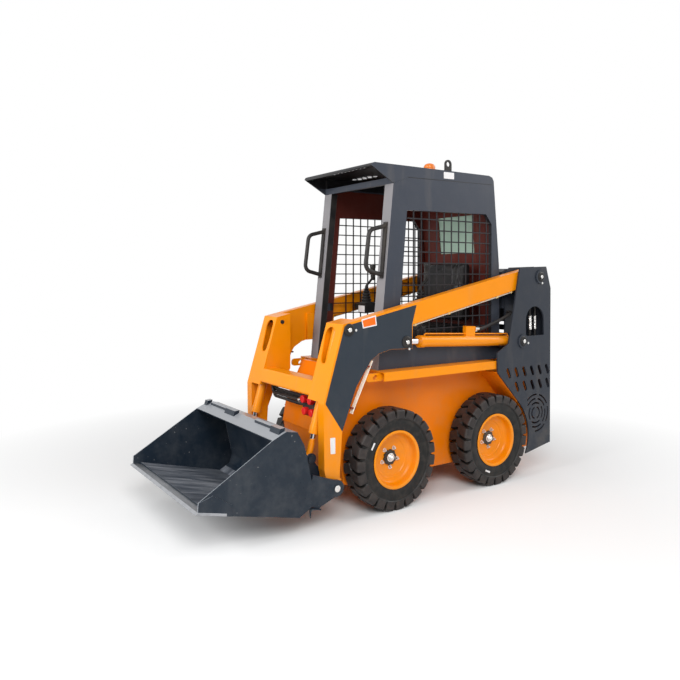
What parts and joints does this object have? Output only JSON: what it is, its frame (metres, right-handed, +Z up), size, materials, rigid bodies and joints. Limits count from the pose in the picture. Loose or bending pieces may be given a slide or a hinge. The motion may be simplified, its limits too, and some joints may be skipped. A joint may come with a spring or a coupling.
{
  "type": "skid steer loader",
  "caption": "Small wheeled skid steer loader with an open-front operator's cab, lift arms raised by cylinders and a tilting digging bucket.",
  "frame": {"origin": "on the ground, on the machine's centre plane, midway along its length", "axes": "+X to the machine's left, +Y towards its rear, +Z up"},
  "size_m": [0.9674, 2.585, 2.062],
  "materials": {
    "amber_lens": "ribbed",
    "bare_steel": "worn",
    "black_plastic": "grained",
    "black_rubber": "matt",
    "bucket_paint": "satin, scuffed",
    "chrome_rod": "polished",
    "dark_steel": "satin",
    "engine_iron": "painted",
    "maroon_paint": "satin",
    "orange_paint": "semi-gloss",
    "red_plastic": "moulded",
    "seat_vinyl": "grained",
    "slate_paint": "satin",
    "tinted_glass": "clear",
    "tyre": "moulded, dusty"
  },
  "bodies": {
    "root": {"arm_consoles": "black_plastic", "axle_housings": "slate_paint", "beacon": "amber_lens", "cab_liners": "maroon_paint", "cab_rear_wall": "maroon_paint", "cab_roof": "slate_paint", "cab_side_left": "slate_paint", "cab_side_right": "slate_paint", "chassis_tub": "orange_paint", "control_levers": "black_plastic", "engine_block": "engine_iron", "engine_hood": "slate_paint", "fender_left": "orange_paint", "fender_right": "orange_paint", "floor_pan": "maroon_paint", "front_sheet": "orange_paint", "grab_handles": "black_plastic", "lift_hoses": "black_rubber", "lifting_eyes": "bare_steel", "rear_frame": "slate_paint", "rear_window": "tinted_glass", "seat_back": "seat_vinyl", "seat_bracket": "black_plastic", "seat_cushion": "seat_vinyl", "tower_inner_left": "slate_paint", "tower_inner_right": "slate_paint", "tower_outer_left": "slate_paint", "tower_outer_right": "slate_paint", "wheel_panels": "orange_paint"},
    "lift_arms": {"arm_couplers": "dark_steel", "arm_cross_tube": "orange_paint", "arm_lines": "bare_steel", "arm_pins": "bare_steel", "coupler_caps": "red_plastic", "lift_arm_left": "orange_paint", "lift_arm_right": "orange_paint"},
    "bucket": {"bucket_brackets": "bucket_paint", "bucket_shell": "bucket_paint", "cutting_edge": "bare_steel"},
    "wheel_front_left": {"hub_front_left": "dark_steel", "rim_front_left": "orange_paint", "tyre_front_left": "tyre"},
    "wheel_front_right": {"hub_front_right": "dark_steel", "rim_front_right": "orange_paint", "tyre_front_right": "tyre"},
    "wheel_rear_left": {"hub_rear_left": "dark_steel", "rim_rear_left": "orange_paint", "tyre_rear_left": "tyre"},
    "wheel_rear_right": {"hub_rear_right": "dark_steel", "rim_rear_right": "orange_paint", "tyre_rear_right": "tyre"},
    "lift_barrel_left": {"lift_barrel_left": "orange_paint"},
    "lift_barrel_right": {"lift_barrel_right": "orange_paint"},
    "lift_rod_left": {"lift_rod_left": "chrome_rod"},
    "lift_rod_right": {"lift_rod_right": "chrome_rod"},
    "rear_door": {"rear_door": "slate_paint"},
    "tilt_barrel_left": {"tilt_barrel_left": "orange_paint"},
    "tilt_barrel_right": {"tilt_barrel_right": "orange_paint"},
    "tilt_rod_left": {"tilt_rod_left": "chrome_rod"},
    "tilt_rod_right": {"tilt_rod_right": "chrome_rod"}
  },
  "joints": [
    {"name": "wheel_front_left_spin", "type": "hinge", "parent": "root", "child": "wheel_front_left", "pos_m": [0.3905, -0.0695, 0.285], "axis": [1, 0, 0], "continuous": true},
    {"name": "wheel_front_right_spin", "type": "hinge", "parent": "root", "child": "wheel_front_right", "pos_m": [-0.3905, -0.0695, 0.285], "axis": [1, 0, 0], "continuous": true},
    {"name": "wheel_rear_left_spin", "type": "hinge", "parent": "root", "child": "wheel_rear_left", "pos_m": [0.3905, 0.7395, 0.285], "axis": [1, 0, 0], "continuous": true},
    {"name": "wheel_rear_right_spin", "type": "hinge", "parent": "root", "child": "wheel_rear_right", "pos_m": [-0.3905, 0.7395, 0.285], "axis": [1, 0, 0], "continuous": true},
    {"name": "arms_lift", "type": "hinge", "parent": "root", "child": "lift_arms", "pos_m": [0, 1.1515, 1.319], "axis": [-1, 0, 0], "range_deg": [-1.6, 68], "deforming": ["lift_hoses"]},
    {"name": "bucket_tilt", "type": "hinge", "parent": "lift_arms", "child": "bucket", "pos_m": [0, -0.4945, 0.204], "axis": [1, 0, 0], "range_deg": [-15, 115]},
    {"name": "rear_door_swing", "type": "hinge", "parent": "root", "child": "rear_door", "pos_m": [-0.333, 1.2815, 0.73], "axis": [0, 0, 1], "range_deg": [0, 100]},
    {"name": "lift_barrel_left_swing", "type": "hinge", "parent": "root", "child": "lift_barrel_left", "pos_m": [0.405, 0.9795, 0.899], "axis": [1, 0, 0], "range_deg": [-64.83, 1.54]},
    {"name": "lift_rod_left_slide", "type": "slide", "parent": "lift_barrel_left", "child": "lift_rod_left", "axis": [0, -0.9988, 0.0482], "range_m": [-0.01259, 0.51454]},
    {"name": "tilt_barrel_left_swing", "type": "hinge", "parent": "lift_arms", "child": "tilt_barrel_left", "pos_m": [0.335, -0.3995, 1.034], "axis": [1, 0, 0], "range_deg": [-0.25, 1.78]},
    {"name": "tilt_rod_left_slide", "type": "slide", "parent": "tilt_barrel_left", "child": "tilt_rod_left", "axis": [0, -0.2676, -0.9635], "range_m": [-0.03996, 0.30302]},
    {"name": "lift_barrel_right_swing", "type": "hinge", "parent": "root", "child": "lift_barrel_right", "pos_m": [-0.405, 0.9795, 0.899], "axis": [1, 0, 0], "range_deg": [-64.83, 1.54]},
    {"name": "lift_rod_right_slide", "type": "slide", "parent": "lift_barrel_right", "child": "lift_rod_right", "axis": [0, -0.9988, 0.0482], "range_m": [-0.01259, 0.51454]},
    {"name": "tilt_barrel_right_swing", "type": "hinge", "parent": "lift_arms", "child": "tilt_barrel_right", "pos_m": [-0.335, -0.3995, 1.034], "axis": [1, 0, 0], "range_deg": [-0.25, 1.78]},
    {"name": "tilt_rod_right_slide", "type": "slide", "parent": "tilt_barrel_right", "child": "tilt_rod_right", "axis": [0, -0.2676, -0.9635], "range_m": [-0.03996, 0.30302]}
  ],
  "couplings": [
    {"joint": "lift_barrel_left_swing", "follows": "arms_lift", "ratio": -0.95314},
    {"joint": "lift_rod_left_slide", "follows": "arms_lift", "m_per_rad": 0.43312},
    {"joint": "tilt_barrel_left_swing", "follows": "bucket_tilt", "ratio": 0.01534},
    {"joint": "tilt_rod_left_slide", "follows": "bucket_tilt", "m_per_rad": 0.15072},
    {"joint": "lift_barrel_right_swing", "follows": "arms_lift", "ratio": -0.95314},
    {"joint": "lift_rod_right_slide", "follows": "arms_lift", "m_per_rad": 0.43312},
    {"joint": "tilt_barrel_right_swing", "follows": "bucket_tilt", "ratio": 0.01534},
    {"joint": "tilt_rod_right_slide", "follows": "bucket_tilt", "m_per_rad": 0.15072}
  ]
}
